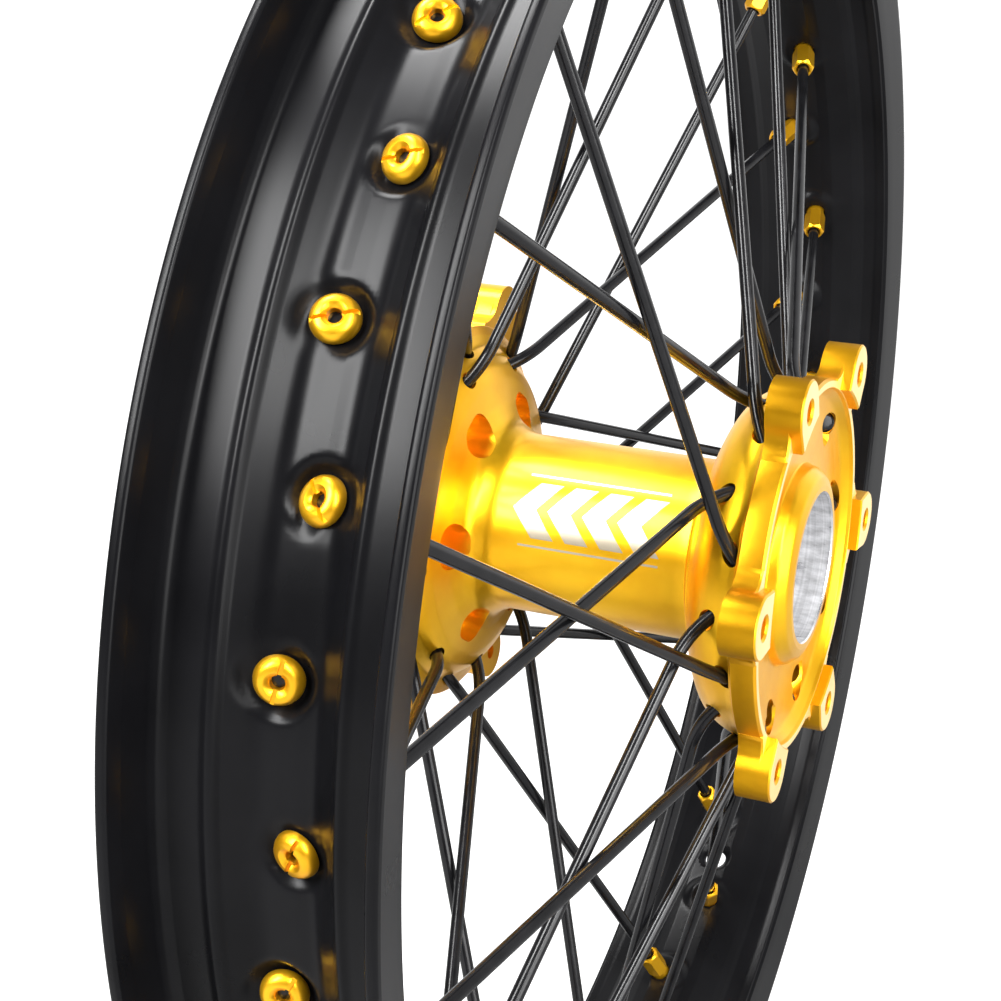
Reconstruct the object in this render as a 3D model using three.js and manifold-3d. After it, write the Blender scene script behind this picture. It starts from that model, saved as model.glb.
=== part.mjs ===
// Spoked rear wheel for a motorcycle: drop-centre rim, 36 spokes in four rows, machined hub,
// two ball bearings, spacer tube, circlips and a dust seal. Millimetres, +Z up, spin axis along Y.
// The sprocket flange faces -Y and the brake disc flange faces +Y; the rim centre plane is y = 0.
import * as THREE from 'three';
import { mergeVertices } from 'three/addons/utils/BufferGeometryUtils.js';
import Module from 'manifold-3d';

const wasm = await Module();
wasm.setup();

// Rim
const RIM_SEGMENTS = 60;
const RIM_LIP_R = 245;
const RIM_HALF_WIDTH = 33.5;
const WELL_OUTER_R = 222.4;
const WELL_INNER_R = 218.4;
const SEAT_R = 221.0;
const VALVE_HOLE_R = 4.1;
const VALVE_ANGLE = 308.6;

// Hub
const HUB_SEGMENTS = 36;
const BORE_R = 23.5;
const BORE_SHOULDER_R = 20.5;
const BARREL_R = 28.9;
const BARREL_CAVITY_R = 24.3;
const NOSE_Y = -60.2;
const DISC_NOSE_Y = 70.5;
const SPROCKET_FACE_Y = -62.2;
const SPROCKET_LUG_BACK_Y = -52;
const SPROCKET_RING_Y = -58.8;
const SPROCKET_PAD_BACK_Y = -54;
const SPROCKET_HOLE_PCD = 128;
const SPROCKET_HOLE_R = 3.4;
const DISC_FACE_Y = 72;
const DISC_LUG_BACK_Y = 62.5;
const DISC_HOLE_PCD = 142;
const DISC_HOLE_R = 2.55;
const LUG_COUNT = 6;
const FLANGE_POCKET_PITCH_R = 36.8;
const FLANGE_POCKET_R = 5.6;
const FLANGE_POCKET_ANGLE = 1.5;
const FLANGE_POCKET_SPREAD = 3;
const FLANGE_POCKET_FLOOR_Y = 54;

// Spokes and nipples
const PER_ROW = 9;
const SPOKE_R = 1.95;
const HEAD_R = 3.4;
const HEAD_THICK = 2;
const HEAD_SETBACK = 9;
const BEND_OUT = 4;
const NIPPLE_R = 3.35;
const NIPPLE_HEAD_R = 5.6;
const NIPPLE_HEAD_H = 3.6;
const NIPPLE_LENGTH = 16;
const FIT = 0.35;
const ROWS = [
  { name: 'sprocket_inner', exitR: 54.6, exitY: -40.6, nippleY: -2.9, nippleT: 143.6, lead: -37.6, dip: -43 },
  { name: 'sprocket_outer', exitR: 55.4, exitY: -47.8, nippleY: -2.9, nippleT: 123.6, lead: 39, dip: -29 },
  { name: 'disc_inner', exitR: 51.4, exitY: 50.4, nippleY: 3.2, nippleT: 113.6, lead: 35, dip: 40 },
  { name: 'disc_outer', exitR: 54.6, exitY: 57.2, nippleY: 3.2, nippleT: 133.6, lead: -37, dip: 24 },
];

// Bearings (20 x 47 x 14) and the parts beside them
const RACE_SEGMENTS = 18;
const RACE_OUTER_R = 23.1;
const RACE_BORE_R = 10.15;
const BEARING_W = 14;
const BALL_PITCH_R = 16.75;
const BALL_R = 3.3;
const BALL_COUNT = 8;
const SPROCKET_BEARING_Y = -33.4;
const DISC_BEARING_Y = 58;
const CIRCLIP_THICK = 1.1;

const GOLD = { color: 0xd9951c, metalness: 0.9, roughness: 0.32 };
const BLACK = { color: 0x1b1b1d, metalness: 0.6, roughness: 0.3 };
const GLOSS_BLACK = { color: 0x101012, metalness: 0.5, roughness: 0.2 };
const STEEL = { color: 0xb9bcc0, metalness: 1, roughness: 0.25 };
const BRASS = { color: 0xb08d3a, metalness: 0.9, roughness: 0.4 };
const RUBBER = { color: 0x161616, metalness: 0, roughness: 0.8 };

const wheel = new THREE.Group();
wheel.name = 'spoked_wheel';

const rad = THREE.MathUtils.degToRad;

function at(r, angle, y) {
  return new THREE.Vector3(r * Math.cos(rad(angle)), y, r * Math.sin(rad(angle)));
}

function toSolid(geometry) {
  const bare = geometry.index ? geometry.toNonIndexed() : geometry.clone();
  bare.deleteAttribute('normal');
  bare.deleteAttribute('uv');
  const merged = mergeVertices(bare, 1e-4);
  const vertProperties = new Float32Array(merged.attributes.position.array);
  const triVerts = new Uint32Array(merged.index.array);
  return new wasm.Manifold(new wasm.Mesh({ numProp: 3, vertProperties, triVerts }));
}

function addPart(name, shape, look) {
  let geometry = shape;
  if (!shape.isBufferGeometry) {
    const mesh = shape.getMesh();
    geometry = new THREE.BufferGeometry();
    geometry.setAttribute('position', new THREE.BufferAttribute(mesh.vertProperties, 3));
    geometry.setIndex(new THREE.BufferAttribute(mesh.triVerts, 1));
    geometry.computeVertexNormals();
  }
  const part = new THREE.Mesh(geometry, new THREE.MeshStandardMaterial(look));
  part.name = name;
  wheel.add(part);
}

// Ring turned about the Y axis from a closed list of [radius, y] pairs.
function turned(profile, segments) {
  const points = profile.map(([r, y]) => new THREE.Vector2(r, y));
  points.push(points[0].clone());
  const ring = new THREE.LatheGeometry(points, segments);
  const bare = ring.toNonIndexed();
  bare.deleteAttribute('normal');
  bare.deleteAttribute('uv');
  return mergeVertices(bare, 1e-4);
}

// Solid of turned rings along a path; each stop is {point, direction, radius}.
function swept(stops, sides) {
  const positions = [];
  const index = [];
  const lengthways = Math.abs(stops[0].direction.y) > 0.9;
  let side = lengthways ? new THREE.Vector3(1, 0, 0) : new THREE.Vector3(0, 1, 0);
  for (const stop of stops) {
    side = side.clone().addScaledVector(stop.direction, -side.dot(stop.direction)).normalize();
    const other = new THREE.Vector3().crossVectors(stop.direction, side);
    for (let i = 0; i < sides; i += 1) {
      const angle = (2 * Math.PI * i) / sides;
      const p = stop.point.clone();
      p.addScaledVector(side, stop.radius * Math.cos(angle));
      p.addScaledVector(other, stop.radius * Math.sin(angle));
      positions.push(p.x, p.y, p.z);
    }
  }
  for (let ring = 0; ring + 1 < stops.length; ring += 1) {
    for (let i = 0; i < sides; i += 1) {
      const a = ring * sides + i;
      const b = ring * sides + ((i + 1) % sides);
      index.push(a, b, b + sides, a, b + sides, a + sides);
    }
  }
  const last = (stops.length - 1) * sides;
  for (let i = 1; i + 1 < sides; i += 1) {
    index.push(0, i + 1, i);
    index.push(last, last + i, last + i + 1);
  }
  const geometry = new THREE.BufferGeometry();
  geometry.setAttribute('position', new THREE.Float32BufferAttribute(positions, 3));
  geometry.setIndex(index);
  geometry.computeVertexNormals();
  return geometry;
}

// Straight round bar between two points, used as a cutter.
function bar(from, to, radius, sides) {
  const direction = to.clone().sub(from).normalize();
  return toSolid(swept([
    { point: from, direction, radius },
    { point: to, direction, radius },
  ], sides));
}

// Centre line of one spoke: head in its flange pocket, bend just outside the flange, nipple at the rim.
function spokeLine(row, k) {
  const nippleAngle = row.nippleT + (360 / PER_ROW) * k;
  const exit = at(row.exitR, nippleAngle + row.lead, row.exitY);
  const seat = at(SEAT_R, nippleAngle, row.nippleY);
  const flat = seat.clone().sub(exit).setY(0).normalize();
  const out = flat.multiplyScalar(Math.cos(rad(row.dip)));
  out.y = -Math.sin(rad(row.dip));
  const head = exit.clone().addScaledVector(out, -HEAD_SETBACK);
  const bend = exit.clone().addScaledVector(out, BEND_OUT);
  const run = seat.clone().sub(bend).normalize();
  return { head, bend, seat, out, run };
}

const lines = [];
for (const row of ROWS) {
  for (let k = 0; k < PER_ROW; k += 1) {
    lines.push({ name: `spoke_${row.name}_${k + 1}`, ...spokeLine(row, k) });
  }
}

for (const line of lines) {
  const { head, bend, seat, out, run } = line;
  const along = (origin, direction, distance) => origin.clone().addScaledVector(direction, distance);
  const headFoot = along(head, out, HEAD_THICK);
  const nippleFoot = along(seat, run, -NIPPLE_LENGTH);
  const nippleSeat = along(seat, run, FIT);
  const nippleTop = along(nippleSeat, run, NIPPLE_HEAD_H);
  const middle = out.clone().add(run).normalize();
  addPart(line.name, swept([
    { point: head, direction: out, radius: HEAD_R },
    { point: headFoot, direction: out, radius: HEAD_R },
    { point: headFoot, direction: out, radius: SPOKE_R },
    { point: bend, direction: middle, radius: SPOKE_R },
    { point: nippleFoot, direction: run, radius: SPOKE_R },
    { point: nippleFoot, direction: run, radius: NIPPLE_R },
    { point: nippleSeat, direction: run, radius: NIPPLE_R },
    { point: nippleSeat, direction: run, radius: NIPPLE_HEAD_R },
    { point: nippleTop, direction: run, radius: NIPPLE_HEAD_R - 1.2 },
  ], 6), GLOSS_BLACK);
}

// Rim: half section on the +Y side, mirrored for the -Y side.
const tyreSide = [
  [WELL_OUTER_R, 8],
  [229.3, 15.4],
  [228.4, 17.6],
  [229, 26.8],
  [232, 28.4],
  [RIM_LIP_R - 1, 30.6],
];
const hubSide = [
  [RIM_LIP_R, RIM_HALF_WIDTH - 1],
  [243.6, RIM_HALF_WIDTH],
  [227, 30.3],
  [225, 20],
  [WELL_INNER_R, 7.6],
];
const half = [...tyreSide, ...hubSide];
const mirrored = half.map(([r, y]) => [r, -y]).reverse();
let rim = toSolid(turned([...half, ...mirrored], RIM_SEGMENTS));
for (const { seat, run } of lines) {
  const inside = seat.clone().addScaledVector(run, -12);
  const outside = seat.clone().addScaledVector(run, 6);
  rim = rim.subtract(bar(inside, outside, NIPPLE_R + FIT + 0.25, 6));
  rim = rim.subtract(bar(seat, outside, NIPPLE_HEAD_R + 1.2, 6));
}
for (const angle of [VALVE_ANGLE, VALVE_ANGLE - 180]) {
  rim = rim.subtract(bar(at(WELL_INNER_R - 5, angle, 0), at(RIM_LIP_R, angle, 0), VALVE_HOLE_R, 12));
}
addPart('rim', rim, BLACK);

// Hub body, turned in one piece.
const hubProfile = [
  [BORE_R, NOSE_Y],
  [25.8, NOSE_Y],
  [31.6, -53],
  [50, -54.2],
  [53.8, -55.6],
  [55.4, SPROCKET_RING_Y],
  [58.6, SPROCKET_RING_Y],
  [58.6, -50.6],
  [55.5, -50.4],
  [55.2, -46],
  [53.2, -41.4],
  [49, -36.4],
  [42, -32.8],
  [30.6, -29.4],
  [BARREL_R, -28.6],
  [BARREL_R, 36.8],
  [31.6, 42.2],
  [37, 45.6],
  [46, 48.2],
  [51.6, 51],
  [55.2, 55.4],
  [62, 58.8],
  [62, 68],
  [52, 68],
  [51, 63.4],
  [32, 62],
  [26, DISC_NOSE_Y],
  [BORE_R, DISC_NOSE_Y],
  [BORE_R, DISC_BEARING_Y + BEARING_W / 2 + 1.7],
  [BORE_R + 1.3, DISC_BEARING_Y + BEARING_W / 2 + 1.7],
  [BORE_R + 1.3, DISC_BEARING_Y + BEARING_W / 2 + 0.1],
  [BORE_R, DISC_BEARING_Y + BEARING_W / 2 + 0.1],
  [BORE_R, DISC_BEARING_Y - BEARING_W / 2 - 0.3],
  [BORE_SHOULDER_R, DISC_BEARING_Y - BEARING_W / 2 - 0.3],
  [BORE_SHOULDER_R, 46],
  [BARREL_CAVITY_R, 43],
  [BARREL_CAVITY_R, -18],
  [BORE_SHOULDER_R, -21],
  [BORE_SHOULDER_R, SPROCKET_BEARING_Y + BEARING_W / 2 + 0.3],
  [BORE_R, SPROCKET_BEARING_Y + BEARING_W / 2 + 0.3],
  [BORE_R, SPROCKET_BEARING_Y - BEARING_W / 2 - 0.1],
  [BORE_R + 1.3, SPROCKET_BEARING_Y - BEARING_W / 2 - 0.1],
  [BORE_R + 1.3, SPROCKET_BEARING_Y - BEARING_W / 2 - 1.7],
  [BORE_R, SPROCKET_BEARING_Y - BEARING_W / 2 - 1.7],
];
let hub = toSolid(turned(hubProfile, HUB_SEGMENTS));

// One drilled lug: a rounded tongue from the web ring out past its hole.
function lug({ pitchR, endR, rootR, rootHalf }, fromY, toY) {
  const tip = endR - pitchR;
  const outline = new THREE.Shape();
  outline.moveTo(rootR, -rootHalf);
  outline.lineTo(pitchR, -tip);
  outline.absarc(pitchR, 0, tip, -Math.PI / 2, Math.PI / 2, false);
  outline.lineTo(rootR, rootHalf);
  outline.closePath();
  const geometry = new THREE.ExtrudeGeometry(outline, {
    depth: Math.abs(toY - fromY),
    bevelEnabled: false,
    curveSegments: 6,
  });
  geometry.rotateX(Math.PI / 2);
  geometry.translate(0, Math.max(fromY, toY), 0);
  return geometry;
}

function addLugs(body, form, backY, faceY, holeR) {
  let result = body;
  for (let i = 0; i < LUG_COUNT; i += 1) {
    const angle = (360 / LUG_COUNT) * i;
    const geometry = lug(form, backY, faceY);
    geometry.rotateY(-rad(angle));
    result = result.add(toSolid(geometry));
    const middle = (backY + faceY) / 2;
    const reach = Math.abs(faceY - backY);
    const from = at(form.pitchR, angle, middle - reach);
    const to = at(form.pitchR, angle, middle + reach);
    result = result.subtract(bar(from, to, holeR, 8));
  }
  return result;
}

const sprocketLugs = { pitchR: SPROCKET_HOLE_PCD / 2, endR: 73.5, rootR: 56.6, rootHalf: 12.5 };
const sprocketPads = { pitchR: SPROCKET_HOLE_PCD / 2, endR: 73.5, rootR: 52.8, rootHalf: 7.6 };
const discLugs = { pitchR: DISC_HOLE_PCD / 2, endR: 80, rootR: 57, rootHalf: 12 };
hub = addLugs(hub, sprocketLugs, SPROCKET_LUG_BACK_Y, SPROCKET_RING_Y, SPROCKET_HOLE_R);
hub = addLugs(hub, sprocketPads, SPROCKET_PAD_BACK_Y, SPROCKET_FACE_Y, SPROCKET_HOLE_R);
hub = addLugs(hub, discLugs, DISC_LUG_BACK_Y, DISC_FACE_Y, DISC_HOLE_R);
for (const { head, bend, out } of lines) {
  const outside = head.clone().addScaledVector(out, -12);
  const pocketEnd = head.clone().addScaledVector(out, HEAD_THICK + 0.3);
  hub = hub.subtract(bar(outside, pocketEnd, HEAD_R + 0.9, 6));
  hub = hub.subtract(bar(head, bend.clone().addScaledVector(out, 3), SPOKE_R + 0.65, 6));
}
for (let k = 0; k < LUG_COUNT; k += 1) {
  const angle = FLANGE_POCKET_ANGLE + (360 / LUG_COUNT) * k;
  for (const aside of [-FLANGE_POCKET_SPREAD, FLANGE_POCKET_SPREAD]) {
    const from = at(FLANGE_POCKET_PITCH_R, angle + aside, FLANGE_POCKET_FLOOR_Y);
    const to = at(FLANGE_POCKET_PITCH_R, angle + aside, 36);
    hub = hub.subtract(bar(from, to, FLANGE_POCKET_R, 8));
  }
}
addPart('hub', hub, GOLD);

// Bearings: races, ball set with its cage, and one shield on the outward side.
function bearing(label, centreY, outward) {
  const h = BEARING_W / 2;
  const shift = (pairs) => pairs.map(([r, y]) => [r, y + centreY]);
  addPart(`bearing_${label}_outer_race`, turned(shift([
    [19.4, -h],
    [RACE_OUTER_R, -h],
    [RACE_OUTER_R, h],
    [19.4, h],
    [19.4, 3.4],
    [20.8, 1.6],
    [20.8, -1.6],
    [19.4, -3.4],
  ]), RACE_SEGMENTS), STEEL);
  addPart(`bearing_${label}_inner_race`, turned(shift([
    [RACE_BORE_R, -h],
    [14.4, -h],
    [14.4, -3.2],
    [13.15, -1.6],
    [13.15, 1.6],
    [14.4, 3.2],
    [14.4, h],
    [RACE_BORE_R, h],
  ]), RACE_SEGMENTS), STEEL);
  let balls = toSolid(turned(shift([
    [16, -2],
    [17.5, -2],
    [17.5, 2],
    [16, 2],
  ]), RACE_SEGMENTS));
  for (let i = 0; i < BALL_COUNT; i += 1) {
    const ball = new THREE.SphereGeometry(BALL_R, 7, 4);
    const spot = at(BALL_PITCH_R, (360 / BALL_COUNT) * i + 4.5, centreY);
    ball.translate(spot.x, spot.y, spot.z);
    balls = balls.add(toSolid(ball));
  }
  addPart(`bearing_${label}_ball_set`, balls, BRASS);
  const outer = outward * (h - 0.3);
  const inner = outward * (h - 1.3);
  const low = Math.min(outer, inner);
  const high = Math.max(outer, inner);
  addPart(`bearing_${label}_shield`, turned(shift([
    [14.9, low],
    [18.7, low],
    [18.7, high],
    [14.9, high],
  ]), RACE_SEGMENTS), RUBBER);
}
bearing('sprocket_side', SPROCKET_BEARING_Y, -1);
bearing('disc_side', DISC_BEARING_Y, 1);

// Split retaining ring in its groove.
function circlip(name, y) {
  const outline = new THREE.Shape();
  outline.absarc(0, 0, 24.4, rad(14), rad(346), false);
  outline.absarc(0, 0, 21.2, rad(346), rad(14), true);
  outline.closePath();
  const geometry = new THREE.ExtrudeGeometry(outline, {
    depth: CIRCLIP_THICK,
    bevelEnabled: false,
    curveSegments: 10,
  });
  geometry.rotateX(Math.PI / 2);
  geometry.translate(0, y + CIRCLIP_THICK / 2, 0);
  addPart(name, toSolid(geometry), STEEL);
}
circlip('circlip_sprocket_side', SPROCKET_BEARING_Y - BEARING_W / 2 - 0.9);
circlip('circlip_disc_side', DISC_BEARING_Y + BEARING_W / 2 + 0.9);

// Dust seal outside the disc-side circlip.
const sealY = DISC_BEARING_Y + BEARING_W / 2 + 2.1;
addPart('dust_seal_disc_side', turned([
  [13, sealY + 0.6],
  [15, sealY],
  [RACE_OUTER_R, sealY],
  [RACE_OUTER_R, sealY + 3],
  [15, sealY + 3],
  [13, sealY + 2.2],
], RACE_SEGMENTS), RUBBER);

// Tube that keeps the two inner races apart.
addPart('axle_spacer_tube', turned([
  [RACE_BORE_R + 0.1, SPROCKET_BEARING_Y + BEARING_W / 2 + 0.3],
  [13, SPROCKET_BEARING_Y + BEARING_W / 2 + 0.3],
  [13, DISC_BEARING_Y - BEARING_W / 2 - 0.3],
  [RACE_BORE_R + 0.1, DISC_BEARING_Y - BEARING_W / 2 - 0.3],
], RACE_SEGMENTS), STEEL);

export default wheel;
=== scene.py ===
"""Spoked rear wheel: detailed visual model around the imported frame.

Lengths are millimetres and angles are degrees; mesh_from writes the meshes in metres.
The floor, lights and camera are given in metres. The wheel spins about Y, the sprocket flange
faces -Y and the brake disc flange +Y. Outlines that are turned are lists of (r, y), or of
(r, y, fillet radius) where a corner is rounded.
"""
import math
from collections import namedtuple

import bmesh
import bpy
from mathutils import Matrix, Quaternion, Vector

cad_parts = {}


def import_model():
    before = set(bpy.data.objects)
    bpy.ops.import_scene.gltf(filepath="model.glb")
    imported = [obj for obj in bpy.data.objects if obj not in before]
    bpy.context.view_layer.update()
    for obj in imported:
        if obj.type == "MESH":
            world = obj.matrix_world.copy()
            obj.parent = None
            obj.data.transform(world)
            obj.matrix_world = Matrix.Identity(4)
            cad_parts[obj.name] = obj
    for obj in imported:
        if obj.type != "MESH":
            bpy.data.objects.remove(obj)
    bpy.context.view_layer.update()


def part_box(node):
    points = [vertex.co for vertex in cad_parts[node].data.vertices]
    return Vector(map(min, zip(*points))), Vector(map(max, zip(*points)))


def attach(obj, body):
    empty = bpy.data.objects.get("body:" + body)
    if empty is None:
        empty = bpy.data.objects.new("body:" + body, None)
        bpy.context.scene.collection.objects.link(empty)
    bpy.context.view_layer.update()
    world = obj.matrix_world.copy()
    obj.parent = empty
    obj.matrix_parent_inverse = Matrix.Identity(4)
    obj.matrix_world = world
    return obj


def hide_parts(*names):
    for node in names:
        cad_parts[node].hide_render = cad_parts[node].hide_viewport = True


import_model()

MM = 0.001
TAU = 2 * math.pi
ORIGIN = Vector((0, 0, 0))
UP = Vector((0, 0, 1))

# Rim
RIM_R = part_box("rim")[1][0] / MM
RIM_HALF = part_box("rim")[1][1] / MM
RIM_SEGMENTS = 1080
WELL_R = 222.4
WELL_IN_R = 218.4
SEAT_R = 221.0
WELL_WALL = 3.7
SPOKE_HOLE_R = 3.85
SPOKE_HOLE_SPAN = (-10, 5)
VALVE_T = 308.6
VALVE_Y = -0.8
# Valve hole, countersunk from the hub side: radius and height above the inside of the well
VALVE_HOLE = [(0, -6), (6.6, -6), (6.6, -0.1), (4.1, 2.2), (4.1, 9), (0, 9)]
DIMPLE_R = 9.8
DIMPLE_RAMP = 4.2
DIMPLE_ZONE_HALF = 15
DIMPLE_ZONE_R = 230
FINE_STEP = 1.15
COARSE_STEP = 6.0

# Hub
HUB_SEGMENTS = 216
HUB_STEP = 4.0
NOSE_Y = -60.2
FACE_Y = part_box("hub")[0][1] / MM
DISC_FACE_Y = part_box("hub")[1][1] / MM
DISC_NOSE_Y = 70.5
BORE_R = 23.5
BARREL_R = 28.9
LUG_COUNT = 6
LUG_STEP = 60
# Lugs: name, pitch radius, tip radius, root radius, root half width, flared, back y, face y, chamfer
LUGS = [
    ("lug_web", 64, 73.5, 57.2, 14.6, True, -51.2, -58.8, 0.6),
    ("lug_face", 64, 73.5, 56.0, 8.8, False, -55, FACE_Y, 0.5),
    ("disc_lug_web", 71, 80, 61.4, 15.2, True, 61, 68, 0.4),
    ("disc_lug_face", 71, 80, 59, 11.5, False, 62.5, DISC_FACE_Y, 0.5),
]
# Bolt holes: pitch radius, hole radius, face y, back y
BOLT_HOLES = [(64, 3.4, FACE_Y, -50), (71, 2.55, DISC_FACE_Y, 60)]
FLANGE_SLOT_T = 1.5
FLANGE_SLOT_PITCH_R = 36.8
FLANGE_SLOT_R = 5.6
FLANGE_SLOT_SPREAD = 3.0
FLANGE_SLOT_Y = (54.0, 32.0)
FLANGE_SLOT_STEPS = 40
CHANNEL_R = 2.75
CHANNEL_PAST_BEND = 4
HEAD_POCKET_R = 3.8
HEAD_POCKET_SPAN = (-16, 2.2)
# Where the hub's materials change: below the first y and above the second
BEARING_SEATS_Y = (-26, 50)
NOSE_EDGES_Y = (NOSE_Y + 0.6, DISC_NOSE_Y - 0.6)
# Flat mounting faces painted pale: partly a machined finish, partly a painted highlight
MACHINED_AND_HIGHLIGHT_Y = (-58.6, 67.8)
MACHINED_AND_HIGHLIGHT_R = 51
LUGS_Y = (-50.4, 58)
LUGS_R = 57.5

# Spokes: name, exit radius, exit y, nipple y, first nipple angle, lead angle, dip angle
ROWS = [
    ("sprocket_inner", 54.6, -40.6, -2.9, 143.6, -37.6, -43.0),
    ("sprocket_outer", 55.4, -47.8, -2.9, 123.6, 39.0, -29.0),
    ("disc_inner", 51.4, 50.4, 3.2, 113.6, 35.0, 40.0),
    ("disc_outer", 54.6, 57.2, 3.2, 133.6, -37.0, 24.0),
]
SPOKES_PER_ROW = 9
ROW_STEP = 40
SPOKE_COUNT = 36
SPOKE_STEP = 10
FIRST_SPOKE_T = 133.6
SPOKE_R = 2.0
HEAD_SETBACK = 9
BEND_OUT = 4
ELBOW_REACH = 9.5
ELBOW_STEPS = 14
TAIL_BACK = 13
TIP_PAST_SEAT = 1.2
TIP_R = SPOKE_R - 0.35
NIPPLE_SPIN = (20, 47)
# Spoke head: distance along the spoke and radius
SPOKE_HEAD = [
    (0, 1.6), (0.12, 2.4), (0.5, 3.1), (1.1, 3.5), (1.9, 3.55), (2.1, 3.4), (2.35, 2.3), (2.8, SPOKE_R),
]
# Nipple outlines: radius and height above the seat plane
NIPPLE_BODY = [
    (0, 0.9), (1.75, 0.9), (1.75, 2.9), (2.15, 3.45), (3.0, 3.85), (4.0, 3.75), (4.9, 3.2), (5.55, 2.2),
    (5.8, 1.2), (5.75, 0.6), (5.4, 0.32), (3.3, 0.32), (3.3, -5.2), (2.9, -5.8), (0, -5.8),
]
NIPPLE_SHANK = [(0, -16), (3.1, -16), (4.2, -14.6), (4.2, -6.3), (3.2, -4.9), (0, -4.9)]
NIPPLE_MOUTH = [(0, -17), (2.75, -17), (2.45, -15.4), (2.45, -11.5), (0, -11.5)]
NIPPLE_HEX_R = 4.05
NIPPLE_HEX_Z = (-15.9, -5.0)
NIPPLE_SLOT = [(-7, -0.5), (7, -0.5), (7, 0.5), (-7, 0.5)]
NIPPLE_SLOT_Z = (2.3, 5)

# Bearings and the parts beside them
SPROCKET_BEARING_Y = -33.4
DISC_BEARING_Y = 58.0
BEARING_HALF = 7
BALL_COUNT = 8
BALL_R = 3.3
BALL_PITCH_R = 16.75
BALL_FIRST_T = 4.5
RING_SEGMENTS = 120
SPACER_PLAY = 0.3
CIRCLIP_OFFSET = BEARING_HALF + 0.9
CIRCLIP_HALF = 0.5
CIRCLIP_OUT_R = 24.4
CIRCLIP_IN_R = 21.6
CIRCLIP_EAR = 2.2
CIRCLIP_GAP_HALF = 14
CIRCLIP_STEPS = 72

# Generic mark on the barrel: chevron bars with a thin line on each side
MARK_T = 155
MARK_SLOPE = 0.8
MARK_HALF = 9.0
MARK_BARS = ((-12.0, -4.5), (-0.5, 7.0), (11.0, 18.5), (22.5, 30.0))
MARK_LINE = (11.2, 11.9)
MARK_LINE_SPAN = (-19.0, 27.0)
MARK_COLOUR = (0.56, 0.49, 0.37)


# ---------------------------------------------------------------- small geometry helpers
def at(r, angle, y):
    """Point at a radius and angle about the wheel axis."""
    a = math.radians(angle)
    return Vector((r * math.cos(a), y, r * math.sin(a)))


def smoothstep(x):
    x = min(1.0, max(0.0, x))
    return x * x * (3 - 2 * x)


def fillets(points, steps=4):
    """Returns a closed outline with the corners that have a fillet radius rounded."""
    out = []
    n = len(points)
    for i, p in enumerate(points):
        r = p[2] if len(p) > 2 else 0
        if r <= 0:
            out.append((p[0], p[1]))
            continue
        here = Vector((p[0], p[1]))
        a = Vector(points[i - 1][:2]) - here
        b = Vector(points[(i + 1) % n][:2]) - here
        la, lb = a.length, b.length
        a.normalize()
        b.normalize()
        angle = a.angle(b)
        if angle > math.pi - 0.02:
            out.append((p[0], p[1]))
            continue
        cut = min(r / math.tan(angle / 2), la * 0.48, lb * 0.48)
        radius = cut * math.tan(angle / 2)
        centre = here + (a + b).normalized() * (radius / math.sin(angle / 2))
        start = here + a * cut - centre
        end = here + b * cut - centre
        sweep = start.angle_signed(end)
        for k in range(steps + 1):
            turn = Matrix.Rotation(-sweep * k / steps, 2)
            q = centre + turn @ start
            out.append((q.x, q.y))
    return out


def refine(outline, step):
    """Adds points so that no span of the closed outline is longer than step."""
    out = []
    n = len(outline)
    for i in range(n):
        a = Vector(outline[i])
        b = Vector(outline[(i + 1) % n])
        parts = max(1, math.ceil((b - a).length / step))
        for k in range(parts):
            q = a.lerp(b, k / parts)
            out.append((q.x, q.y))
    return out


def mesh_from(name, verts, faces):
    mesh = bpy.data.meshes.new(name)
    mesh.from_pydata([tuple(c * MM for c in v) for v in verts], [], faces)
    bm = bmesh.new()
    bm.from_mesh(mesh)
    bmesh.ops.recalc_face_normals(bm, faces=bm.faces)
    bm.to_mesh(mesh)
    bm.free()
    return mesh


def ring_faces(n, segments):
    """Faces of a closed ring of sections with n points each."""
    faces = []
    for s in range(segments):
        e = (s + 1) % segments
        for i in range(n):
            j = (i + 1) % n
            faces.append((s * n + i, s * n + j, e * n + j, e * n + i))
    return faces


def lathe_mesh(name, outline, segments):
    """Closed ring turned about the Y axis from a closed outline of (r, y)."""
    n = len(outline)
    verts = []
    for s in range(segments):
        a = TAU * s / segments
        ca, sa = math.cos(a), math.sin(a)
        verts += [(r * ca, y, r * sa) for r, y in outline]
    return mesh_from(name, verts, ring_faces(n, segments))


def prism_mesh(name, ring, heights):
    """Closed prism along Z: the same ring of (x, y) at two heights."""
    n = len(ring)
    verts = [(x, y, z) for z in heights for x, y in ring]
    faces = [(k, (k + 1) % n, n + (k + 1) % n, n + k) for k in range(n)]
    faces += [tuple(range(n)), tuple(range(n, 2 * n))]
    return mesh_from(name, verts, faces)


def spin_solid(name, outline, segments, axis_from, axis):
    """Solid turned about any axis; outline runs from axis to axis as (r, height)."""
    axis = axis.normalized()
    side = axis.orthogonal().normalized()
    other = axis.cross(side)
    verts, faces, rings = [], [], []
    for r, h in outline:
        base = axis_from + axis * h
        if r < 1e-6:
            rings.append([len(verts)])
            verts.append(tuple(base))
            continue
        ring = []
        for s in range(segments):
            a = TAU * s / segments
            ring.append(len(verts))
            verts.append(tuple(base + side * (r * math.cos(a)) + other * (r * math.sin(a))))
        rings.append(ring)
    for low, high in zip(rings, rings[1:]):
        for s in range(segments):
            e = (s + 1) % segments
            if len(low) == 1:
                faces.append((low[0], high[s], high[e]))
            elif len(high) == 1:
                faces.append((low[s], low[e], high[0]))
            else:
                faces.append((low[s], low[e], high[e], high[s]))
    return mesh_from(name, verts, faces)


def rod_mesh(name, a, b, radius, segments):
    length = (b - a).length
    return spin_solid(name, [(0, 0), (radius, 0), (radius, length), (0, length)], segments, a, b - a)


def make(name, data):
    """Links a new object for a mesh, light or camera to the scene."""
    obj = bpy.data.objects.new(name, data)
    bpy.context.scene.collection.objects.link(obj)
    return obj


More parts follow.
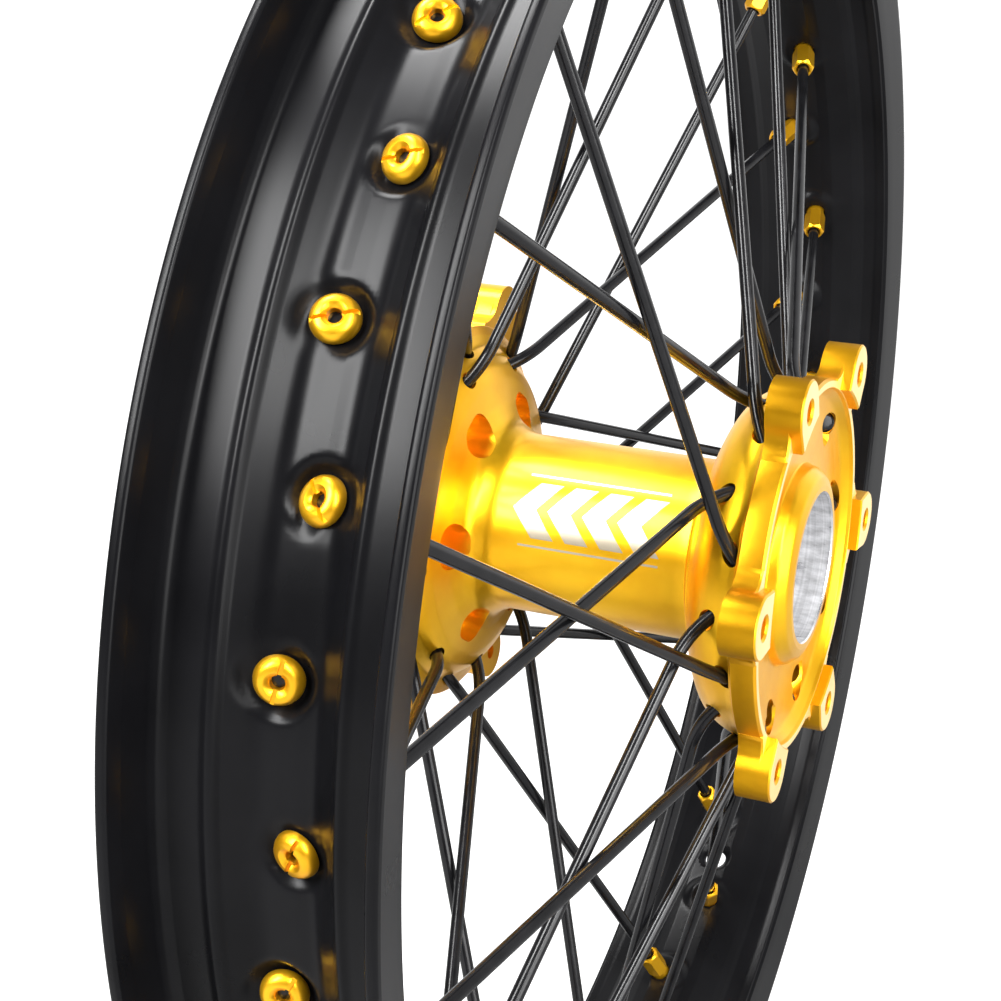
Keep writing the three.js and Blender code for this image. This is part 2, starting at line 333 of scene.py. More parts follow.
def paint(obj, *materials):
    obj.data.materials.clear()
    for m in materials:
        obj.data.materials.append(m)


def join_meshes(name, meshes):
    bm = bmesh.new()
    for m in meshes:
        bm.from_mesh(m)
    joined = bpy.data.meshes.new(name)
    bm.to_mesh(joined)
    bm.free()
    return joined


def boolean(obj, mesh, how="DIFFERENCE"):
    """Cuts a mesh out of an object, or joins it on."""
    tool = bpy.data.objects.new("cutter", mesh)
    bpy.context.scene.collection.objects.link(tool)
    mod = obj.modifiers.new("cut", "BOOLEAN")
    mod.operation = how
    mod.solver = "MANIFOLD"
    mod.object = tool
    deps = bpy.context.evaluated_depsgraph_get()
    result = bpy.data.meshes.new_from_object(obj.evaluated_get(deps))
    obj.modifiers.clear()
    old = obj.data
    obj.data = result
    bpy.data.meshes.remove(old)
    bpy.data.objects.remove(tool)


def smooth(obj, angle):
    mesh = obj.data
    mesh.shade_smooth()
    mesh.set_sharp_from_angle(angle=math.radians(angle))


# ---------------------------------------------------------------- materials
class Nodes:
    """Short names for building one node material."""

    def __init__(self, name):
        self.mat = bpy.data.materials.new(name)
        self.mat.use_nodes = True
        self.tree = self.mat.node_tree
        self.bsdf = self.tree.nodes["Principled BSDF"]
        self.coord = self.add("ShaderNodeTexCoord").outputs["Object"]

    def add(self, kind, **props):
        node = self.tree.nodes.new(kind)
        for key, value in props.items():
            setattr(node, key, value)
        return node

    def link(self, a, b):
        self.tree.links.new(a, b)

    def math(self, op, a, b=None, clamp=False):
        node = self.add("ShaderNodeMath", operation=op, use_clamp=clamp)
        for slot, value in enumerate((a, b)):
            if value is None:
                continue
            if isinstance(value, (int, float)):
                node.inputs[slot].default_value = value
            else:
                self.link(value, node.inputs[slot])
        return node.outputs[0]

    def noise(self, scale, detail=4.0, roughness=0.55, stretch=None):
        node = self.add("ShaderNodeTexNoise")
        node.inputs["Scale"].default_value = scale
        node.inputs["Detail"].default_value = detail
        node.inputs["Roughness"].default_value = roughness
        vector = self.coord
        if stretch:
            mapping = self.add("ShaderNodeMapping")
            mapping.inputs["Scale"].default_value = stretch
            self.link(vector, mapping.inputs["Vector"])
            vector = mapping.outputs[0]
        self.link(vector, node.inputs["Vector"])
        return node.outputs["Fac"]

    def ramp(self, fac, stops):
        node = self.add("ShaderNodeValToRGB")
        elements = node.color_ramp.elements
        while len(elements) < len(stops):
            elements.new(0.5)
        for element, (pos, colour) in zip(elements, stops):
            element.position = pos
            element.color = (*colour, 1)
        self.link(fac, node.inputs[0])
        return node.outputs[0]

    def map(self, fac, low, high):
        node = self.add("ShaderNodeMapRange")
        node.inputs["To Min"].default_value = low
        node.inputs["To Max"].default_value = high
        self.link(fac, node.inputs[0])
        return node.outputs[0]

    def mix(self, fac, a, b):
        node = self.add("ShaderNodeMix", data_type="RGBA")
        self.link(fac, node.inputs["Factor"])
        for slot, value in ((6, a), (7, b)):
            if isinstance(value, tuple):
                node.inputs[slot].default_value = (*value, 1)
            else:
                self.link(value, node.inputs[slot])
        return node.outputs[2]

    def bump(self, height, strength, distance):
        node = self.add("ShaderNodeBump")
        node.inputs["Strength"].default_value = strength
        node.inputs["Distance"].default_value = distance
        self.link(height, node.inputs["Height"])
        self.link(node.outputs[0], self.bsdf.inputs["Normal"])

    def set(self, **values):
        for key, value in values.items():
            socket = self.bsdf.inputs[key.replace("_", " ")]
            if hasattr(value, "is_output"):
                self.link(value, socket)
            elif isinstance(value, tuple):
                socket.default_value = (*value, 1)
            else:
                socket.default_value = value

    def xyz(self):
        node = self.add("ShaderNodeSeparateXYZ")
        self.link(self.coord, node.inputs[0])
        return node.outputs

    def about_axis(self):
        """Radius about the wheel axis, then x, y and z."""
        x, y, z = self.xyz()
        squares = self.math("ADD", self.math("MULTIPLY", x, x), self.math("MULTIPLY", z, z))
        return self.math("SQRT", squares), x, y, z

    def turned_rings(self, per_mm):
        """Fine rings about the wheel axis, for lathe-cut surfaces: varies with radius and with y."""
        radius, _, y, _ = self.about_axis()
        pack = self.add("ShaderNodeCombineXYZ")
        self.link(self.math("MULTIPLY", radius, per_mm * 1000), pack.inputs[0])
        self.link(self.math("MULTIPLY", y, per_mm * 1000), pack.inputs[1])
        node = self.add("ShaderNodeTexNoise")
        node.inputs["Scale"].default_value = 1.0
        node.inputs["Detail"].default_value = 2.0
        self.link(pack.outputs[0], node.inputs["Vector"])
        return node.outputs["Fac"]


def gold(name, dark, light, rough, rings=0.02):
    n = Nodes(name)
    fine = n.noise(900, 3)
    colour = n.ramp(n.noise(38, 5), [(0.3, dark), (0.7, light)])
    n.bump(n.math("ADD", n.turned_rings(1.4), n.math("MULTIPLY", fine, 0.6)), 0.16, rings * MM)
    n.set(Base_Color=colour, Metallic=0.88, Roughness=n.map(fine, *rough))
    n.set(Coat_Weight=0.15, Coat_Roughness=0.2)
    return n.mat


# Paler gold with a clear coat for the flat mounting faces: partly their machined finish, partly a painted
# highlight
def pale_gold(name):
    n = Nodes(name)
    ring = n.turned_rings(2.2)
    colour = n.ramp(n.noise(45, 4), [(0.3, (0.95, 0.63, 0.22)), (0.7, (1.0, 0.74, 0.34))])
    n.bump(ring, 0.25, 0.02 * MM)
    n.set(Base_Color=colour, Metallic=0.6, Roughness=n.map(ring, 0.38, 0.5))
    n.set(Coat_Weight=0.3, Coat_Roughness=0.3)
    return n.mat


def hub_gold():
    """Anodised gold with a pale generic chevron mark etched on the barrel."""
    n = Nodes("gold_hub")
    fine = n.noise(900, 3)
    radius, x, y, z = n.about_axis()
    colour = n.ramp(n.noise(38, 5), [(0.3, (0.88, 0.43, 0.006)), (0.7, (1.0, 0.57, 0.014))])
    turn = n.math("SUBTRACT", n.math("ARCTAN2", z, x), math.radians(MARK_T))
    wrapped = n.math("ARCTAN2", n.math("SINE", turn), n.math("COSINE", turn))
    across = n.math("ABSOLUTE", n.math("MULTIPLY", wrapped, BARREL_R))
    along = n.math("MULTIPLY", y, 1 / MM)
    lean = n.math("ADD", along, n.math("MULTIPLY", across, MARK_SLOPE))

    def band(value, low, high):
        return n.math("MULTIPLY", n.math("GREATER_THAN", value, low), n.math("LESS_THAN", value, high))

    bars = band(lean, *MARK_BARS[0])
    for low, high in MARK_BARS[1:]:
        bars = n.math("ADD", bars, band(lean, low, high))
    bars = n.math("MULTIPLY", bars, n.math("LESS_THAN", across, MARK_HALF))
    lines = n.math("MULTIPLY", band(across, *MARK_LINE), band(along, *MARK_LINE_SPAN))
    barrel = n.math("LESS_THAN", radius, (BARREL_R + 0.5) * MM)
    mark = n.math("MULTIPLY", n.math("ADD", bars, lines, clamp=True), barrel)
    colour = n.mix(mark, colour, MARK_COLOUR)
    n.bump(n.math("ADD", n.turned_rings(1.4), n.math("MULTIPLY", fine, 0.6)), 0.16, 0.02 * MM)
    n.set(Base_Color=colour, Metallic=0.92, Roughness=n.map(fine, 0.27, 0.4))
    n.set(Coat_Weight=0.12, Coat_Roughness=0.16)
    return n.mat


def rim_black():
    n = Nodes("black_rim")
    cloud = n.noise(22, 5)
    fine = n.math("MULTIPLY", n.noise(1200, 2), 0.5)
    rings = n.math("MULTIPLY", n.turned_rings(0.9), 0.8)
    colour = n.ramp(cloud, [(0.3, (0.0022, 0.0022, 0.0026)), (0.7, (0.005, 0.005, 0.0058))])
    n.bump(n.math("ADD", rings, fine), 0.12, 0.02 * MM)
    n.set(Base_Color=colour, Metallic=0.0, Roughness=n.map(cloud, 0.24, 0.33), Specular_IOR_Level=0.11)
    return n.mat


def spoke_black():
    n = Nodes("black_spoke")
    cloud = n.noise(160, 3)
    colour = n.ramp(cloud, [(0.3, (0.003, 0.003, 0.0034)), (0.7, (0.007, 0.007, 0.008))])
    n.bump(cloud, 0.08, 0.05 * MM)
    n.set(Base_Color=colour, Metallic=0.0, Roughness=n.map(cloud, 0.16, 0.26), Specular_IOR_Level=0.3)
    return n.mat


def raw_metal(name, dark, light, rough, metallic=1.0):
    n = Nodes(name)
    patch = n.noise(260, 6, 0.65, (1, 0.35, 1))
    ring = n.turned_rings(1.2)
    blend = n.math("ADD", n.math("MULTIPLY", patch, 0.7), n.math("MULTIPLY", ring, 0.3))
    colour = n.ramp(blend, [(0.35, dark), (0.65, light)])
    n.bump(ring, 0.35, 0.03 * MM)
    n.set(Base_Color=colour, Metallic=metallic, Roughness=n.map(patch, *rough))
    return n.mat


def rubber():
    n = Nodes("rubber_black")
    cloud = n.noise(300, 4)
    colour = n.ramp(cloud, [(0.3, (0.012, 0.012, 0.012)), (0.7, (0.03, 0.03, 0.03))])
    n.bump(cloud, 0.3, 0.05 * MM)
    n.set(Base_Color=colour, Roughness=n.map(cloud, 0.5, 0.7))
    return n.mat


GOLD_HUB = hub_gold()
# Pale mounting-face gold: partly a machined finish, partly a painted highlight
GOLD_FACE_AND_HIGHLIGHT = pale_gold("gold_machined_face_and_highlight")
GOLD_LUG = gold("gold_lug", (0.80, 0.37, 0.004), (0.98, 0.50, 0.009), (0.28, 0.42), 0.04)
GOLD_NIPPLE = gold("gold_nipple", (0.88, 0.42, 0.008), (1.0, 0.54, 0.016), (0.3, 0.4))
BLACK_RIM = rim_black()
BLACK_SPOKE = spoke_black()
RAW_BORE = raw_metal("raw_bore", (0.30, 0.30, 0.31), (0.85, 0.85, 0.87), (0.2, 0.4), metallic=0.35)
BRIGHT_EDGE = raw_metal("bright_edge", (0.75, 0.75, 0.77), (0.9, 0.9, 0.92), (0.2, 0.3))
RACE_STEEL = raw_metal("race_steel", (0.42, 0.42, 0.44), (0.62, 0.62, 0.64), (0.16, 0.26))
DARK_STEEL = raw_metal("dark_steel", (0.05, 0.05, 0.055), (0.12, 0.12, 0.125), (0.3, 0.45))
BALL_STEEL = raw_metal("ball_steel", (0.5, 0.46, 0.36), (0.7, 0.66, 0.55), (0.12, 0.2))
RUBBER = rubber()


# ---------------------------------------------------------------- spoke lines
Spoke = namedtuple("Spoke", "name head bend seat out run angle nipple_y")


def spoke_lines():
    """Each spoke's head, elbow and nipple seat, and its directions out of the hub and to the rim."""
    lines = []
    for name, exit_r, exit_y, nipple_y, nipple_t, lead, dip in ROWS:
        for k in range(SPOKES_PER_ROW):
            angle = nipple_t + ROW_STEP * k
            leave = at(exit_r, angle + lead, exit_y)
            seat = at(SEAT_R, angle, nipple_y)
            flat = seat - leave
            flat.y = 0
            flat.normalize()
            out = flat * math.cos(math.radians(dip))
            out.y = -math.sin(math.radians(dip))
            head = leave - out * HEAD_SETBACK
            bend = leave + out * BEND_OUT
            run = (seat - bend).normalized()
            lines.append(Spoke(f"{name}_{k + 1}", head, bend, seat, out, run, angle, nipple_y))
    return lines


def spoke_step(angle):
    """Which spoke hole is nearest to an angle, counted from the first one."""
    return round((angle - FIRST_SPOKE_T) / SPOKE_STEP)


LINES = spoke_lines()
SPOKE_AT = {spoke_step(line.angle) % SPOKE_COUNT: line for line in LINES}


# ---------------------------------------------------------------- rim
def rim_outline():
    upper = [
        (WELL_R + 0.14, 2.0, 4),
        (WELL_R, 7.4, 9),
        (226.8, 13.4, 4),
        (229.15, 15.4, 2.6),
        (228.5, 17.9, 5),
        (229.3, 26.9, 4),
        (232.4, 28.5, 3),
        (240.6, 29.5, 6),
        (RIM_R, 30.6, 1.1),
        (RIM_R - 0.02, RIM_HALF - 0.1, 1.2),
        (243.0, RIM_HALF - 0.05, 0.6),
        (227.6, 30.6, 0.5),
        (227.1, 29.6, 0.3),
        (226.3, 29.2, 0.3),
        (226.6, 26.0, 6),
        (225.4, 21.4, 2),
        (224.2, 19.9, 0.5),
        (222.6, 17.4, 4),
        (219.2, 10.2, 4),
        (WELL_IN_R, 6.4, 3),
    ]
    lower = [(r, -y, f) for r, y, f in reversed(upper)]
    return fillets(upper + lower, 5)


def dimple(r, angle, y, tyre_side):
    """Rim surface pressed towards the hub around each nipple seat."""
    step = spoke_step(angle)
    spoke = SPOKE_AT[step % SPOKE_COUNT]
    gap = math.radians(angle - (FIRST_SPOKE_T + SPOKE_STEP * step)) * SEAT_R
    rho = math.hypot(gap, y - spoke.nipple_y)
    if rho > DIMPLE_R:
        return r
    weight = smoothstep((DIMPLE_R - rho) / DIMPLE_RAMP)
    ray = at(1, angle, 0)
    plane = (spoke.seat.dot(spoke.run) - y * spoke.run.y) / ray.dot(spoke.run)
    if tyre_side:
        target = min(plane - 0.05, r - 0.25)
    else:
        target = min(plane - WELL_WALL, r - 0.5)
    return r + (target - r) * weight


def in_dimple_zone(r, y):
    return abs(y) < DIMPLE_ZONE_HALF and r < DIMPLE_ZONE_R


def on_tyre_side(r, y):
    """Whether a point of the well is on its outer surface; the well's wall climbs beyond y = 8."""
    middle = (WELL_R + WELL_IN_R) / 2 + 1.2
    return r > middle + max(0, abs(y) - 8) * 0.75


def rim_piece():
    outline = []
    raw = rim_outline()
    for i, a in enumerate(raw):
        b = raw[(i + 1) % len(raw)]
        gap = math.hypot(b[0] - a[0], b[1] - a[1])
        fine = in_dimple_zone(*a) and in_dimple_zone(*b)
        parts = max(1, math.ceil(gap / (FINE_STEP if fine else COARSE_STEP)))
        for k in range(parts):
            f = k / parts
            outline.append((a[0] + (b[0] - a[0]) * f, a[1] + (b[1] - a[1]) * f))
    verts = []
    for s in range(RIM_SEGMENTS):
        angle = 360 * s / RIM_SEGMENTS
        a = math.radians(angle)
        ca, sa = math.cos(a), math.sin(a)
        for r, y in outline:
            if in_dimple_zone(r, y):
                r = dimple(r, angle, y, on_tyre_side(r, y))
            verts.append((r * ca, y, r * sa))
    rim = make("rim_detailed", mesh_from("rim_detailed", verts, ring_faces(len(outline), RIM_SEGMENTS)))
    cutters = []
    for spoke in LINES:
        start, end = (spoke.seat + spoke.run * d for d in SPOKE_HOLE_SPAN)
        cutters.append(rod_mesh("hole", start, end, SPOKE_HOLE_R, 24))
    for angle in (VALVE_T, VALVE_T - 180):
        axis = at(1, angle, 0)
        base = at(WELL_IN_R, angle, VALVE_Y)
        cutters.append(spin_solid("valve", VALVE_HOLE, 32, base, axis))
    boolean(rim, join_meshes("rim_cutters", cutters))
    paint(rim, BLACK_RIM)
    smooth(rim, 62)
    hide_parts("rim")
    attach(rim, "wheel")


# ---------------------------------------------------------------- hub
def tongue(name, pitch, tip, root, root_half, flare, y_back, y_face, chamfer):
    """Lug solid along +X: rounded end, straight sides, optional flared root; front edge chamfered."""

    def outline(inset):
        half = tip - pitch - inset
        pts = []
        for k in range(25):
            a = -math.pi / 2 + math.pi * k / 24
            pts.append((pitch + half * math.cos(a), half * math.sin(a)))
        if not flare:
            reach = root + inset
            limit = math.asin((root_half - inset) / reach)
            for k in range(13):
                a = limit - 2 * limit * k / 12
                pts.append((reach * math.cos(a), reach * math.sin(a)))
            return pts
        start, knee, end = pitch - 0.5, root + 2.6, root - 0.4
        side = []
        for k in range(1, 11):
            f = k / 10
            x = (1 - f) ** 2 * start + 2 * f * (1 - f) * knee + f * f * end
            y = (1 - f * f) * half + f * f * (root_half - inset)
            side.append((x, y))
        side.append((root - 1.2, root_half - inset))
        return pts + side + [(x, -y) for x, y in reversed(side)]

    sign = 1 if y_face > y_back else -1
    rows = [(y_back, 0), (y_face - sign * chamfer, 0), (y_face, chamfer)]
    verts, faces = [], []
    n = len(outline(0))
    for y, inset in rows:
        verts += [(x, y, z) for x, z in outline(inset)]
    for r in range(len(rows) - 1):
        for i in range(n):
            j = (i + 1) % n
            faces.append((r * n + i, r * n + j, (r + 1) * n + j, (r + 1) * n + i))
    faces.append(tuple(range(n)))
    faces.append(tuple(range((len(rows) - 1) * n, len(rows) * n)))
    return mesh_from(name, verts, faces)


def spun_copies(name, mesh):
    """The same shape at each of the lugs, as one mesh."""
    copies = []
    for k in range(LUG_COUNT):
        copy = mesh.copy()
        copy.transform(Matrix.Rotation(-math.radians(LUG_STEP * k), 4, "Y"))
        copies.append(copy)
    return join_meshes(name, copies)


def hub_outline():
    """Half section of the hub: sprocket flange, barrel, disc flange, then back through the bore."""
    return fillets([
        (BORE_R, NOSE_Y + 0.5),
        (BORE_R + 0.35, NOSE_Y),
        (25.6, NOSE_Y, 0.3),
        (28.4, -59.3, 3),
        (30.9, -56.6, 4),
        (31.7, -53.2, 0.8),
        (49.0, -54.1, 5),
        (53.2, -54.9, 3.4),
        (55.4, -57.6, 1.2),
        (55.7, -58.8, 0.3),
        (57.9, -58.8, 0.3),
        (58.6, -58.1, 0.3),
        (58.6, -51.2, 0.3),
        (57.9, -50.8, 0.2),
        (57.7, -50.3, 0.2),
        (56.2, -50.1, 0.8),
        (55.5, -48.2, 8),
        (54.7, -44.8, 14),
        (53.2, -41.4, 14),
        (51.3, -38.6, 14),
        (49.0, -36.4, 14),
        (45.8, -34.5, 14),
        (42.0, -32.8, 20),
        (37.0, -31.0, 20),
        (31.4, -29.6, 1.2),
        (30.1, -29.2, 0.3),
        (29.9, -28.4, 0.3),
        (BARREL_R, -27.8, 0.5),
        (BARREL_R, 36.9, 9),
        (31.8, 43.4, 7),
        (38.0, 46.1, 12),
        (46.0, 48.2, 12),
        (50.0, 49.9, 8),
        (53.0, 52.6, 6),
        (55.4, 56.6, 3),
        (61.8, 58.7, 0.6),
        (62, 68, 0.5),
        (52, 68, 0.5),
        (51, 63.4, 1.2),
        (32, 62, 1),
        (30.6, 66.2, 4),
        (28.2, 69.6, 3),
        (25.6, DISC_NOSE_Y, 0.4),
        (BORE_R + 0.35, DISC_NOSE_Y),
        (BORE_R, DISC_NOSE_Y - 0.5),
        (BORE_R, 66.7),
        (BORE_R + 1.3, 66.7),
        (BORE_R + 1.3, 65.1),
        (BORE_R, 65.1),
        (BORE_R, 50.7),
        (20.5, 50.7),
        (20.5, 46),
        (24.3, 43),
        (24.3, -18),
        (20.5, -21),
        (20.5, -26.1),
        (BORE_R, -26.1),
        (BORE_R, -40.5),
        (BORE_R + 1.3, -40.5),
        (BORE_R + 1.3, -42.1),
        (BORE_R, -42.1),
    ])


def flange_slot(angle):
    """Slot with round ends sunk into the disc flange from the barrel side."""
    n = FLANGE_SLOT_STEPS
    verts = []
    for y in FLANGE_SLOT_Y:
        for k in range(n):
            a = TAU * k / n
            side = FLANGE_SLOT_SPREAD if math.sin(a) > 0 else -FLANGE_SLOT_SPREAD
            centre = at(FLANGE_SLOT_PITCH_R, angle + side, y)
            turn = a + math.radians(angle)
            x = centre.x + FLANGE_SLOT_R * math.cos(turn)
            verts.append((x, y, centre.z + FLANGE_SLOT_R * math.sin(turn)))
    faces = [(k, (k + 1) % n, n + (k + 1) % n, n + k) for k in range(n)]
    faces += [tuple(range(n)), tuple(range(n, 2 * n))]
    return mesh_from("slot", verts, faces)


def bolt_holes():
    """Cutters for the bolt holes of both flanges, each with a small countersink at its face."""
    cutters = []
    for k in range(LUG_COUNT):
        for pitch, hole, face_y, back_y in BOLT_HOLES:
            axis = Vector((0, math.copysign(1, face_y), 0))
            depth = abs(face_y - back_y) + 3
            profile = [(0, -depth), (hole, -depth), (hole, -0.7), (hole + 0.7, 0), (hole + 0.7, 2), (0, 2)]
            cutters.append(spin_solid("bolt_hole", profile, 32, at(pitch, LUG_STEP * k, face_y), axis))
    return join_meshes("bolt_holes", cutters)


def cut_spoke_row(hub, spokes):
    """Channels for one row of spokes, and the pockets that their heads sit in."""
    channels, pockets = [], []
    for spoke in spokes:
        mouth = spoke.bend + spoke.out * CHANNEL_PAST_BEND
        channels.append(rod_mesh("channel", spoke.head, mouth, CHANNEL_R, 24))
        start, end = (spoke.head + spoke.out * d for d in HEAD_POCKET_SPAN)
        pockets.append(rod_mesh("pocket", start, end, HEAD_POCKET_R, 32))
    boolean(hub, join_meshes("channels", channels))
    boolean(hub, join_meshes("pockets", pockets))


def outside(y, limits):
    return y < limits[0] or y > limits[1]


def hub_material(face):
    """Bearing seats are bare metal, nose edges bright, mounting faces pale (partly a machined finish, partly
    a painted highlight), and the lugs a deeper gold.
    """
    c = face.center / MM
    r = math.hypot(c.x, c.z)
    if r < BORE_R + 0.05 and outside(c.y, BEARING_SEATS_Y):
        return RAW_BORE
    if r < BORE_R + 0.9 and outside(c.y, NOSE_EDGES_Y):
        return BRIGHT_EDGE
    # Flat mounting faces get the pale gold: machined finish plus painted highlight
    if abs(face.normal.y) > 0.97 and r > MACHINED_AND_HIGHLIGHT_R and outside(c.y, MACHINED_AND_HIGHLIGHT_Y):
        return GOLD_FACE_AND_HIGHLIGHT
    if r > LUGS_R and outside(c.y, LUGS_Y):
        return GOLD_LUG
    return GOLD_HUB


def hub_piece():
    outline = refine(hub_outline(), HUB_STEP)
    hub = make("hub_detailed", lathe_mesh("hub_detailed", outline, HUB_SEGMENTS))
    for lug in LUGS:
        boolean(hub, spun_copies("lugs", tongue(*lug)), "UNION")
    boolean(hub, bolt_holes())
    for first in range(0, SPOKE_COUNT, SPOKES_PER_ROW):
        cut_spoke_row(hub, LINES[first:first + SPOKES_PER_ROW])
    slots = [flange_slot(FLANGE_SLOT_T + LUG_STEP * k) for k in range(LUG_COUNT)]
    boolean(hub, join_meshes("flange_slots", slots))
    materials = [GOLD_HUB, GOLD_FACE_AND_HIGHLIGHT, GOLD_LUG, RAW_BORE, BRIGHT_EDGE]
    paint(hub, *materials)
    for face in hub.data.polygons:
        face.material_index = materials.index(hub_material(face))
    smooth(hub, 28)
    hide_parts("hub")
    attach(hub, "wheel")


# ---------------------------------------------------------------- spokes and nipples
def tube(name, path, radii):
    """Round bar along a list of points with a radius at each, closed at both ends."""
    verts, faces = [], []
    n = len(path)
    segments = 20
    tangents = []
    for i in range(n):
        a = path[max(0, i - 1)]
        b = path[min(n - 1, i + 1)]
        tangents.append((b - a).normalized())
    side = tangents[0].orthogonal().normalized()
    for p, t, r in zip(path, tangents, radii):
        side = (side - t * side.dot(t)).normalized()
        other = t.cross(side)
        for s in range(segments):
            a = TAU * s / segments
            verts.append(tuple(p + side * (r * math.cos(a)) + other * (r * math.sin(a))))
    for low in range(0, (n - 1) * segments, segments):
        high = low + segments
        for s in range(segments):
            e = (s + 1) % segments
            faces.append((low + s, low + e, high + e, high + s))
    faces.append(tuple(range(segments)))
    faces.append(tuple(range((n - 1) * segments, n * segments)))
    return mesh_from(name, verts, faces)


def spoke_mesh(spoke):
    """Formed head, elbow as a quadratic curve, straight run, and the tip that goes into the nipple."""
    path = [spoke.head + spoke.out * h for h, _ in SPOKE_HEAD]
    radii = [r for _, r in SPOKE_HEAD]
    start = spoke.bend - spoke.out * ELBOW_REACH
    end = spoke.bend + spoke.run * ELBOW_REACH
    for k in range(ELBOW_STEPS + 1):
        f = k / ELBOW_STEPS
        path.append(start * (1 - f) ** 2 + spoke.bend * (2 * f * (1 - f)) + end * f * f)
        radii.append(SPOKE_R)
    tail = spoke.seat - spoke.run * TAIL_BACK
    for f in (0.25, 0.5, 0.75, 1.0):
        path.append(end.lerp(tail, f))
        radii.append(SPOKE_R)
    path.append(spoke.seat + spoke.run * TIP_PAST_SEAT)
    radii.append(TIP_R)
    return tube(f"spoke_{spoke.name}", path, radii)


def nipple_mesh():
    """One nipple along +Z: seat plane at 0, domed slotted head above, hexagon and open end below."""
    body = make("nipple_work", spin_solid("nipple", NIPPLE_BODY, 40, ORIGIN, UP))
    corners = [(NIPPLE_HEX_R * math.cos(TAU * k / 6), NIPPLE_HEX_R * math.sin(TAU * k / 6)) for k in range(6)]
    hexagon = make("hexagon", prism_mesh("hexagon", corners, NIPPLE_HEX_Z))
    boolean(hexagon, spin_solid("turned", NIPPLE_SHANK, 40, ORIGIN, UP), "INTERSECT")
    boolean(body, hexagon.data.copy(), "UNION")
    bpy.data.objects.remove(hexagon)
    boolean(body, spin_solid("mouth", NIPPLE_MOUTH, 32, ORIGIN, UP))
    boolean(body, prism_mesh("slot", NIPPLE_SLOT, NIPPLE_SLOT_Z))
    mesh = body.data
    bpy.data.objects.remove(body)
    return mesh


def spoke_pieces():
    nipple = nipple_mesh()
    first, step = NIPPLE_SPIN
    for index, spoke in enumerate(LINES):
        node = f"spoke_{spoke.name}"
        bar = make(f"{node}_detailed", spoke_mesh(spoke))
        paint(bar, BLACK_SPOKE)
        smooth(bar, 40)
        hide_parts(node)
        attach(bar, "wheel")
        mesh = nipple.copy()
        spin = Matrix.Rotation(math.radians(first + step * index), 4, "Z")
        aim = spoke.run.to_track_quat("Z", "Y").to_matrix().to_4x4()
        mesh.transform(Matrix.Translation(spoke.seat * MM) @ aim @ spin)
        piece = make(f"nipple_{spoke.name}", mesh)
        paint(piece, GOLD_NIPPLE)
        smooth(piece, 30)
        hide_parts(node)
        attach(piece, "wheel")


# ---------------------------------------------------------------- bearings and small parts
def ring_piece(node, body, outline, material):
    piece = make(f"{node}_detailed", lathe_mesh(node, fillets(outline, 3), RING_SEGMENTS))
    paint(piece, material)
    smooth(piece, 30)
    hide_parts(node)
    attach(piece, body)


def ball_set(label, centre):
    """Balls and their cage as one piece."""
    section = [(16, -2), (17.5, -2), (17.5, 2), (16, 2)]
    cage = fillets([(r, centre + y, 0.3) for r, y in section], 3)
    balls = make(f"ball_set_{label}", lathe_mesh("cage", cage, RING_SEGMENTS))
    arc = [(0, -BALL_R)]
    for k in range(1, 16):
        a = math.pi * k / 16
        arc.append((BALL_R * math.sin(a), -BALL_R * math.cos(a)))
    arc.append((0, BALL_R))
    spheres = []
    for k in range(BALL_COUNT):
        spot = at(BALL_PITCH_R, 360 / BALL_COUNT * k + BALL_FIRST_T, centre)
        spheres.append(spin_solid("ball", arc, 32, spot, Vector((0, 1, 0))))
    boolean(balls, join_meshes("balls", spheres), "UNION")
    paint(balls, BALL_STEEL)
    smooth(balls, 40)
    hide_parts(f"bearing_{label}_ball_set")
    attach(balls, f"ball_set_{label}")


def bearing(label, centre, outward):
    """Two races with a ball groove each, a shield on the outward side, and the ball set."""
    h = BEARING_HALF

    def moved(points):
        return [(p[0], centre + p[1], *p[2:]) for p in points]

    ring_piece(f"bearing_{label}_outer_race", "wheel", moved([
        (19.4, -h, 0.4), (23.1, -h, 0.6), (23.1, h, 0.6), (19.4, h, 0.4),
        (19.4, 3.4), (20.8, 1.6, 1.5), (20.8, -1.6, 1.5), (19.4, -3.4),
    ]), RACE_STEEL)
    ring_piece(f"bearing_{label}_inner_race", "axle_set", moved([
        (10.15, -h, 0.6), (14.4, -h, 0.4), (14.4, -3.2), (13.15, -1.6, 1.5),
        (13.15, 1.6, 1.5), (14.4, 3.2), (14.4, h, 0.4), (10.15, h, 0.6),
    ]), RACE_STEEL)
    back, front, dish = outward * (h - 1.3), outward * (h - 0.3), outward * (h - 0.75)
    ring_piece(f"bearing_{label}_shield", "wheel", moved([
        (14.9, back), (18.7, back), (18.7, front, 0.3),
        (17.6, dish, 0.3), (16.0, dish, 0.3), (14.9, front, 0.3),
    ]), RUBBER)
    ball_set(label, centre)


def circlip(node, y):
    """Split ring with a small eared end on each side of its gap."""
    outer, inner = [], []
    sweep = 360 - 2 * CIRCLIP_GAP_HALF
    for k in range(CIRCLIP_STEPS + 1):
        a = math.radians(CIRCLIP_GAP_HALF + sweep * k / CIRCLIP_STEPS)
        ear = max(0.0, 1 - min(k, CIRCLIP_STEPS - k) / 3.2)
        r = CIRCLIP_IN_R - CIRCLIP_EAR * ear
        outer.append((CIRCLIP_OUT_R * math.cos(a), CIRCLIP_OUT_R * math.sin(a)))
        inner.append((r * math.cos(a), r * math.sin(a)))
    loop = outer + inner[::-1]
    n = len(loop)
    verts = [(x, y + side * CIRCLIP_HALF, z) for side in (-1, 1) for x, z in loop]
    faces = [(i, (i + 1) % n, n + (i + 1) % n, n + i) for i in range(n)]
    for base in (0, n):
        for i in range(CIRCLIP_STEPS):
            faces.append((base + i, base + i + 1, base + n - 2 - i, base + n - 1 - i))
    piece = make(f"{node}_detailed", mesh_from(node, verts, faces))
    paint(piece, DARK_STEEL)
    smooth(piece, 30)
    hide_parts(node)
    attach(piece, "wheel")


